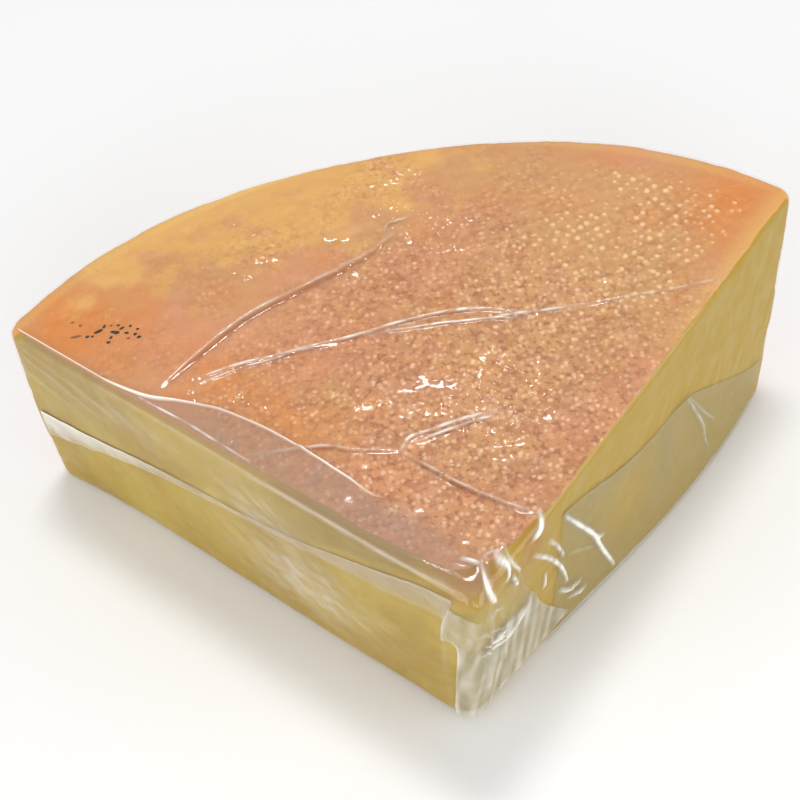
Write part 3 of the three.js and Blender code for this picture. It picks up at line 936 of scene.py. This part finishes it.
def flap_piece():
    """The film folded over the left of the top, down over the edge to the pale band."""
    fold = resampled(FLAP_FOLD, FLAP_STEPS)
    fold = fold - polar(LEFT_WAY + math.pi / 2, np.maximum(0.0, FLAP_CLEAR - from_left(fold)))
    reach = np.linspace(-WHEEL_RADIUS + RIM_CORNER + 0.5, 7.0, FLAP_STEPS)
    walk = walk_for(reach)
    edge = plan(film_side(walk, 1.0 + 0 * walk, 0.0)[0])
    along = np.linspace(0, 1, FLAP_STEPS)
    fold_white = np.interp(along, FOLD_PLACES, FOLD_WHITE)
    points = []
    paints = []
    soft_edge = 7.0 * smooth(0.72, 0.85, along)
    line_width = 1.7 - 1.15 * smooth(0.15, 0.4, along)
    for share in crowded(FLAP_TOP_ROWS):
        place = fold + (edge - fold) * share
        rise, marks = film_top(place)
        lift = SHEET_LIFT + 0.5 * np.exp(-(share / 0.1) ** 2) * fold_white
        points.append(lifted(place, rise + lift))
        near = np.abs(place - fold)
        # The fold's white edge joins the crests' white, which is partly a painted highlight.
        crest_white_and_highlight = np.maximum(marks[0], fold_white * np.exp(-(near / line_width) ** 2))
        inner = smooth(-0.1, 1.0, near / (soft_edge + 0.01))
        haze = 0.34 * inner * (1 - 0.9 * smooth(0.88, 1.0, along))
        paints.append((crest_white_and_highlight, haze, 1.0 + 0 * along))
    bottom = level_at(walk, depth_along(BAND_LOWER, reach))
    for share in np.linspace(0, 1, FLAP_SIDE_ROWS)[1:] ** 1.3:
        level = 1 + (bottom - 1) * share
        ring, marks = film_side(walk, level, SHEET_LIFT)
        points.append(ring)
        depth = (1 - level) * THICKNESS_AT_TIP
        milky = 0.7 * left_haze(reach + 1j * depth)
        past = smooth(0.3, 2.0, depth)
        paints.append((marks[0], np.clip(0.25 + (milky - 0.25) * past, 0, 1), 1 - past))
    return strip_piece("film_flap", points, paints)


def band_paint(chart, share):
    """The band is palest at its far end and fades towards its lower side."""
    far = smooth(60, 140, -chart.real)
    fade = 1 - 0.75 * share ** 3
    return (0.30 + 0.42 * far) * fade + 0.25 * math.exp(-(share / 0.1) ** 2), 0.5 * (1 - far)


def band_piece():
    """The pale band where two layers of film overlap on the left cut."""
    return side_strip("film_band", BAND_UPPER, BAND_LOWER, 150, 9, band_paint)


def right_paint(chart, share):
    """A grey veil that thins out in an olive patch, with paler folds beside it."""
    patch = blob(chart, 67 + 40j, 11, 14)
    folds = blob(chart, 84 + 40j, 4, 16) + blob(chart, 60 + 22j, 16, 4, 0.3) + blob(chart, 52 + 58j, 10, 5)
    haze = 0.20 - 0.15 * patch + 0.10 * folds + 0.3 * math.exp(-(share / 0.015) ** 2)
    return haze, 1.0 + 0 * haze


def right_wrap_piece():
    """The film drawn up over the right cut from below."""
    ends = np.linspace(33.0, 144.0, len(RIGHT_WRAP_EDGE))
    foot = 0.99 * top_plane(outline(walk_for(ends), 1.0, 0.0, FILM_TIP_CORNER))
    return side_strip("film_right_wrap", RIGHT_WRAP_EDGE, list(ends + 1j * foot), 230, 80, right_paint)


def tip_paint(chart, share):
    """The bunched film is whitish where it is doubled, at its foot and at its free edge."""
    doubled = 0.26 * smooth(4, -1, chart.real) * smooth(31, 24, chart.imag) * smooth(6, 9, chart.imag)
    foot = smooth(25, 31, chart.imag - 0.2 * chart.real)
    folds = waves(chart.real + 0.1 * chart.imag + 0.1j * chart.imag, 3.2, 71)
    crinkles = waves(chart, 10.0, 72)
    side = 0.12 * blob(chart, 17 + 36j, 9, 9)
    haze = 0.10 + doubled + 0.40 * foot + side + 0.3 * math.exp(-(share / 0.02) ** 2)
    haze = haze + 0.06 * foot * np.clip(folds, -1, 2) + 0.03 * crinkles
    return np.clip(haze, 0.03, 0.9), 0.55 - 0.2 * np.clip(folds, -1, 1)


def tip_wrap_piece():
    """The bunched film round the tip, with its free edge on the left cut."""
    return side_strip("film_tip_wrap", TIP_LEFT_EDGE, TIP_RIGHT_EDGE, 170, 84, tip_paint)


# Dark marks of mould on the rind: place, length, width and turn.
MOULD_MARKS = [
    (-79.6+97.2j, 1.2, 0.9, 50), (-75.4+97.6j, 1.6, 0.8, -10), (-77.6+101j, 1.0, 0.8, 0),
    (-82.9+100.1j, 3.0, 1.3, 20), (-81.4+101.6j, 1.6, 0.9, 70), (-78.4+98.6j, 3.2, 1.2, -25),
    (-76.6+99.6j, 1.8, 0.9, 30), (-80.3+95.6j, 1.3, 1.0, 0), (-74.3+99.8j, 1.0, 0.8, 10),
    (-73.1+96.7j, 1.2, 0.9, 40), (-72.1+95.4j, 1.5, 1.0, 15), (-72.4+98.4j, 1.0, 0.8, 0),
    (-86.0+99.0j, 1.3, 1.0, 0), (-84.6+98.6j, 1.0, 0.8, 0),
]
BROWN_MARKS = [
    (-89.9+104.9j, 1.1, 0.9, 0), (-87.8+103.3j, 1.1, 0.9, 0), (-89.1+99.7j, 3.6, 1.1, 5),
    (-74.9+95.6j, 1.2, 0.8, 0), (-79.6+101.4j, 1.1, 0.8, 0),
]


def marks_piece(name, marks):
    """Flat irregular flakes that lie in the rind."""
    draw = np.random.default_rng(7)
    sides = 14
    points = []
    faces = []
    for place, long, wide, turn in marks:
        angle = np.arange(sides) * 2 * math.pi / sides
        ragged = 1 + 0.22 * draw.uniform(-1, 1, sides)
        first = len(points)
        for scale, lift in ((1.0, -0.15), (0.7, 0.16)):
            local = scale * ragged * (long / 2 * np.cos(angle) + 1j * wide / 2 * np.sin(angle))
            rim = place + local * np.exp(1j * math.radians(turn))
            points += lifted(rim, cheese_top(rim) + lift).tolist()
        under = range(first, first + sides)
        faces += [tuple(first + k for k in face) for face in band_faces(2, sides)]
        faces += [tuple(k + sides for k in under), tuple(reversed(under))]
    return mesh_object(name, np.array(points), faces)


# Materials

def srgb(red, green, blue):
    """A colour as read from a screen, 0 to 255, in linear light."""
    parts = []
    for part in (red, green, blue):
        part = part / 255
        parts.append(part / 12.92 if part <= 0.04045 else ((part + 0.055) / 1.055) ** 2.4)
    return (*parts, 1.0)


class Paint:
    """A material's nodes, with a short call for each kind."""

    def __init__(self, name):
        self.material = bpy.data.materials.new(name)
        self.material.use_nodes = True
        self.tree = self.material.node_tree
        self.tree.nodes.clear()
        self.place = self.add("ShaderNodeTexCoord", {}, "Object")

    def add(self, kind, inputs, output, **settings):
        """An output of a new node, whose inputs are fed with numbers or with other outputs."""
        node = self.tree.nodes.new(kind)
        for key, value in settings.items():
            setattr(node, key, value)
        for key, value in inputs.items():
            if isinstance(value, bpy.types.NodeSocket):
                self.tree.links.new(value, node.inputs[key])
            else:
                node.inputs[key].default_value = value
        return node.outputs[output]

    def value(self, name):
        return self.add("ShaderNodeAttribute", {}, "Fac", attribute_name=name)

    def drawn_out(self, way, squeeze):
        """The place, squeezed along a direction, so that a noise there comes out as streaks."""
        along = self.add("ShaderNodeVectorMath", {0: self.place, 1: way}, "Value", operation="DOT_PRODUCT")
        moved = {0: way, "Scale": self.times(along, squeeze - 1)}
        part = self.add("ShaderNodeVectorMath", moved, "Vector", operation="SCALE")
        return self.add("ShaderNodeVectorMath", {0: self.place, 1: part}, "Vector", operation="ADD")

    def noise(self, millimetres, detail=2.0, roughness=0.5, place=None):
        inputs = {"Vector": place or self.place, "Scale": 1 / (millimetres * MM)}
        return self.add("ShaderNodeTexNoise", {**inputs, "Detail": detail, "Roughness": roughness}, "Fac")

    def spots(self, millimetres):
        """The distance to the nearest of many scattered spots, and a number of that spot's own."""
        inputs = {"Vector": self.place, "Scale": 1 / (millimetres * MM)}
        distance = self.add("ShaderNodeTexVoronoi", inputs, "Distance")
        colour = distance.node.outputs["Color"]
        return distance, self.add("ShaderNodeSeparateColor", {"Color": colour}, "Red")

    def ramp(self, value, low, high, bottom=0.0, top=1.0):
        inputs = {"Value": value, "From Min": low, "From Max": high, "To Min": bottom, "To Max": top}
        return self.add("ShaderNodeMapRange", inputs, "Result", interpolation_type="SMOOTHSTEP")

    def math(self, operation, first, second, clamp=False):
        return self.add("ShaderNodeMath", {0: first, 1: second}, 0, operation=operation, use_clamp=clamp)

    def times(self, first, second, clamp=False):
        return self.math("MULTIPLY", first, second, clamp)

    def plus(self, first, second, clamp=False):
        return self.math("ADD", first, second, clamp)

    def minus(self, first, second, clamp=False):
        return self.math("SUBTRACT", first, second, clamp)

    def mix(self, share, first, second):
        inputs = {"Factor": share, "A": first, "B": second}
        return self.add("ShaderNodeMix", inputs, "Result", data_type="RGBA")

    def bump(self, height, millimetres, strength):
        inputs = {"Height": height, "Distance": millimetres * MM, "Strength": strength}
        return self.add("ShaderNodeBump", inputs, "Normal")

    def blend(self, share, first, second):
        return self.add("ShaderNodeMixShader", {"Fac": share, 1: first, 2: second}, "Shader")

    def dull(self, colour, roughness, specular, **more):
        """An opaque surface."""
        inputs = {"Base Color": colour, "Roughness": roughness, "Specular IOR Level": specular}
        return self.finish(self.add("ShaderNodeBsdfPrincipled", {**inputs, **more}, "BSDF"))

    def finish(self, shader):
        output = self.tree.nodes.new("ShaderNodeOutputMaterial")
        self.tree.links.new(shader, output.inputs["Surface"])
        return self.material


OCHRE = srgb(227, 172, 94)
ORANGE = srgb(222, 138, 62)
PINK = srgb(216, 148, 104)
TAN = srgb(210, 152, 96)
BUFF = srgb(212, 160, 100)
BROWN = srgb(172, 108, 70)
GRAIN = srgb(242, 196, 154)
BEAD = srgb(248, 208, 160)
PALE = srgb(242, 200, 112)
PASTE = srgb(186, 157, 52)
PASTE_DEEP = srgb(170, 138, 36)
PASTE_PALE = srgb(198, 172, 84)
GOLDEN = srgb(178, 144, 8)
AMBER = srgb(170, 118, 32)
# Painted shade on the left cut's paste, under the film's taut line.
PAINTED_SHADE_PASTE = srgb(156, 128, 44)
RIND_EDGE = srgb(150, 96, 48)
CLOUDY = srgb(252, 247, 236)
FLAP_GREY = srgb(196, 170, 152)
WRAP_GREY = srgb(176, 176, 150)
# Painted shade beside the film's creases.
SHADE = srgb(128, 78, 46)
MOULD = srgb(38, 25, 16)
BROWN_MOULD = srgb(140, 78, 30)

# The directions in which the film is drawn out over each cut.
LEFT_STREAKS = (0.573, -0.564, -0.595)
RIGHT_STREAKS = (0.314, 0.309, -0.897)


def rind_colour(paint):
    """Ochre, orange and mottled pinkish brown, under pale grains and beads."""
    mottled = paint.value("mottled")
    colour = paint.mix(paint.ramp(paint.noise(26, 3), 0.35, 0.65), PINK, TAN)
    colour = paint.mix(paint.value("beaded"), colour, BUFF)
    colour = paint.mix(paint.value("orange"), colour, ORANGE)
    border = paint.plus(paint.value("ochre"), paint.ramp(paint.noise(6, 4, 0.55), 0.3, 0.7, -0.16, 0.16))
    colour = paint.mix(paint.ramp(border, 0.2, 0.72), colour, OCHRE)
    patches = paint.ramp(paint.noise(4.2, 4, 0.6), 0.42, 0.64, 0, 0.5)
    colour = paint.mix(paint.times(mottled, patches), colour, BROWN)
    gaps = paint.times(paint.ramp(paint.noise(1.6, 3, 0.6), 0.5, 0.36), mottled)
    colour = paint.mix(paint.times(gaps, 0.9), colour, BROWN)
    distance, own = paint.spots(1.5)
    ragged = paint.plus(distance, paint.ramp(paint.noise(0.8, 2), 0.3, 0.7, -0.14, 0.14))
    grain = paint.times(paint.ramp(ragged, 0.56, 0.2), paint.ramp(own, 0.05, 0.9))
    cloud = paint.ramp(paint.noise(3.2, 3, 0.6), 0.34, 0.6, 0.4, 1.0)
    grain = paint.times(grain, paint.times(cloud, paint.ramp(mottled, 0, 1, 0.12, 1.0)))
    colour = paint.mix(grain, colour, GRAIN)
    colour = paint.mix(paint.ramp(paint.value("bead"), 0.18, 0.6, 0, 0.75), colour, BEAD)
    return paint.mix(paint.value("pale"), colour, PALE)


def paste_colour(paint):
    """Olive yellow paste with soft cloudy patches."""
    colour = paint.mix(paint.ramp(paint.noise(34, 3), 0.36, 0.64), PASTE_DEEP, PASTE)
    colour = paint.mix(paint.ramp(paint.noise(11, 4, 0.6), 0.5, 0.72, 0, 0.5), colour, PASTE_PALE)
    colour = paint.mix(paint.value("golden"), colour, GOLDEN)
    # Painted shade on the left cut.
    colour = paint.mix(paint.times(paint.value("painted_shade"), 0.85), colour, PAINTED_SHADE_PASTE)
    return paint.mix(paint.value("amber"), colour, AMBER)


def cheese_material():
    """The rind and the paste of the cut faces."""
    paint = Paint("cheese")
    wander = paint.ramp(paint.noise(5, 2), 0.3, 0.7, -0.12, 0.12)
    rind = paint.ramp(paint.plus(paint.value("rind"), wander), 0.4, 0.6)
    colour = paint.mix(rind, paste_colour(paint), rind_colour(paint))
    brim = paint.times(rind, paint.minus(1.0, rind))
    colour = paint.mix(paint.times(brim, 2.2, clamp=True), colour, RIND_EDGE)
    roughness = paint.ramp(paint.noise(6, 3), 0.3, 0.7, 0.42, 0.62)
    fine = paint.plus(paint.noise(0.9, 3, 0.6), paint.noise(2.6, 2))
    depth = {"Subsurface Weight": 0.15, "Subsurface Radius": (1.0, 0.55, 0.2), "Subsurface Scale": 3 * MM}
    return paint.dull(colour, roughness, 0.35, Normal=paint.bump(fine, 0.12, 0.6), **depth)


# How much of the light the film mirrors when seen squarely, where it clings and where it is
# loose, and how much more when seen at a grazing angle.
FILM_SHINE = 0.045
LOOSE_SHINE = 0.02
GRAZING_SHINE = 0.12
FILM_GLOSS = 0.09


def film_material(name, grey_tone, clear_shine, streak_way):
    """Thin clear film: see-through, glossy, milky where it is creased or layered, with painted highlights
    on crests and painted shade beside them.
    """
    paint = Paint(name)
    streaks = paint.noise(5, 4, 0.6, paint.drawn_out(streak_way, 0.28))
    contrast = paint.minus(0.6, paint.times(paint.value("grey"), 0.4))
    contrast = paint.minus(contrast, paint.times(paint.value("haze"), 0.7), clamp=True)
    swing = paint.times(paint.ramp(streaks, 0.34, 0.68, -1.0, 1.0), contrast)
    cloud = paint.plus(swing, 1.0)
    haze = paint.times(paint.value("haze"), cloud)
    # Painted shade beside a crease and the crest's white, partly a painted highlight, thicken the veil.
    shade = paint.value("shade")
    haze = paint.plus(haze, paint.times(shade, 0.6))
    haze = paint.plus(haze, paint.value("crest_white_and_highlight"), clamp=True)
    wrinkles = paint.bump(paint.noise(2.2, 2, 0.55), 0.08, 0.7)
    grey = paint.times(paint.value("grey"), paint.minus(1.0, paint.value("crest_white_and_highlight")))
    tone = paint.mix(grey, CLOUDY, grey_tone)
    shaded = paint.minus(paint.times(shade, 3.0), paint.value("crest_white_and_highlight"), clamp=True)
    veil = paint.add("ShaderNodeBsdfDiffuse", {"Color": paint.mix(shaded, tone, SHADE)}, "BSDF")
    clear = paint.add("ShaderNodeBsdfTransparent", {}, "BSDF")
    shine = paint.add("ShaderNodeBsdfGlossy", {"Roughness": FILM_GLOSS, "Normal": wrinkles}, "BSDF")
    facing = paint.add("ShaderNodeLayerWeight", {"Blend": 0.5, "Normal": wrinkles}, "Facing")
    share = paint.plus(paint.times(paint.math("POWER", facing, 5.0), GRAZING_SHINE), clear_shine)
    return paint.finish(paint.blend(share, paint.blend(haze, clear, veil), shine))


def mark_material(name, colour):
    """Dull dark mould, uneven in tone."""
    paint = Paint(name)
    lighter = (*(min(1.0, 1.6 * part) for part in colour[:3]), 1.0)
    tone = paint.mix(paint.ramp(paint.noise(0.7, 2), 0.4, 0.7), colour, lighter)
    return paint.dull(tone, 0.8, 0.5)


def floor_material():
    """A plain pale surface with a faint unevenness."""
    paint = Paint("floor")
    tone = paint.mix(paint.noise(90, 2), (0.93, 0.93, 0.93, 1), (0.95, 0.95, 0.95, 1))
    return paint.dull(tone, 0.9, 0.1)


# Camera, light and floor

EYE = np.array([-21.8, -132.0, 322.5])
CAMERA_TURN = math.radians(-4.22)
CAMERA_RISE = math.radians(52.452)
CAMERA_ROLL = math.radians(-5.732)
FOCAL_PIXELS = 1271.4
FRAME_PIXELS = 800
SENSOR = 36.0


def make_camera():
    """The camera at the photograph's place, worked out from the block's corners."""
    back = np.array([math.sin(CAMERA_TURN) * math.cos(CAMERA_RISE),
                     -math.cos(CAMERA_TURN) * math.cos(CAMERA_RISE), math.sin(CAMERA_RISE)])
    right = np.array([math.cos(CAMERA_TURN), math.sin(CAMERA_TURN), 0.0])
    up = np.cross(back, right)
    turned_right = right * math.cos(CAMERA_ROLL) + up * math.sin(CAMERA_ROLL)
    turned_up = -right * math.sin(CAMERA_ROLL) + up * math.cos(CAMERA_ROLL)
    lens = bpy.data.cameras.new("camera")
    lens.sensor_width = SENSOR
    lens.lens = FOCAL_PIXELS / FRAME_PIXELS * SENSOR
    lens.clip_start = 0.01
    camera = bpy.data.objects.new("camera", lens)
    rows = [[*axes, place] for axes, place in zip(zip(turned_right, turned_up, back), (EYE - ORIGIN) * MM)]
    camera.matrix_world = Matrix([*rows, [0, 0, 0, 1]])
    bpy.context.scene.collection.objects.link(camera)
    bpy.context.scene.camera = camera


def soft_light(name, turn, rise, distance, width, depth, power):
    """A soft box that faces the object, from a turn round it and a rise above the floor."""
    light = bpy.data.lights.new(name, "AREA")
    light.shape = "RECTANGLE"
    light.size = width
    light.size_y = depth
    light.energy = power
    flat = math.cos(math.radians(rise))
    away = Vector((math.sin(math.radians(turn)) * flat, math.cos(math.radians(turn)) * flat,
                   math.sin(math.radians(rise))))
    lamp = bpy.data.objects.new(name, light)
    lamp.location = away * distance + Vector((0, 0, 0.05))
    lamp.rotation_euler = away.to_track_quat("Z", "Y").to_euler()
    bpy.context.scene.collection.objects.link(lamp)


# Soft boxes: turn and rise in degrees, distance, width and depth in metres, and power in watts.
SOFT_LIGHTS = {
    "key": (4, 76, 1.1, 0.24, 0.17, 4.2),
    "left_box": (-118, 20, 1.2, 0.9, 0.7, 4.6),
    "right_box": (118, 20, 1.2, 0.9, 0.7, 4.6),
    "front_box": (180, 26, 1.3, 0.6, 0.4, 2.4),
}
SURROUND = 0.5


def make_lights():
    """A key nearly overhead, two side boxes, one in front, and an even pale surround."""
    for name, numbers in SOFT_LIGHTS.items():
        soft_light(name, *numbers)
    world = bpy.data.worlds.new("surround")
    world.use_nodes = True
    background = world.node_tree.nodes["Background"]
    background.inputs["Color"].default_value = (1.0, 1.0, 1.0, 1.0)
    background.inputs["Strength"].default_value = SURROUND
    bpy.context.scene.world = world
    bpy.context.scene.view_settings.view_transform = "Standard"


def make_floor():
    """A wide flat floor just under the part."""
    half = 3.0
    level = -0.0002
    corners = [(-half, -half, level), (half, -half, level), (half, half, level), (-half, half, level)]
    mesh = bpy.data.meshes.new("floor")
    mesh.from_pydata(corners, [], [(0, 1, 2, 3)])
    floor = bpy.data.objects.new("floor", mesh)
    bpy.context.scene.collection.objects.link(floor)
    floor.data.materials.append(floor_material())


def dress():
    """Every piece, with its material, on the part's one body."""
    film = film_material("film", FLAP_GREY, FILM_SHINE, LEFT_STREAKS)
    loose = film_material("loose film", FLAP_GREY, LOOSE_SHINE, LEFT_STREAKS)
    grey = film_material("film over the right cut", WRAP_GREY, LOOSE_SHINE, RIGHT_STREAKS)
    pieces = [
        (cheese_piece(), cheese_material(), "cheese"),
        (film_piece(), film, "film"),
        (flap_piece(), loose, "film"),
        (band_piece(), loose, "film"),
        (right_wrap_piece(), grey, "film"),
        (tip_wrap_piece(), grey, "film"),
        (marks_piece("mould_marks", MOULD_MARKS), mark_material("mould", MOULD), "cheese"),
        (marks_piece("brown_marks", BROWN_MARKS), mark_material("brown mould", BROWN_MOULD), "cheese"),
    ]
    for piece, material, slot in pieces:
        piece.data.materials.append(material)
        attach(piece, "root")
        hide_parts("wrapped_cheese")


make_camera()
dress()
make_lights()
make_floor()
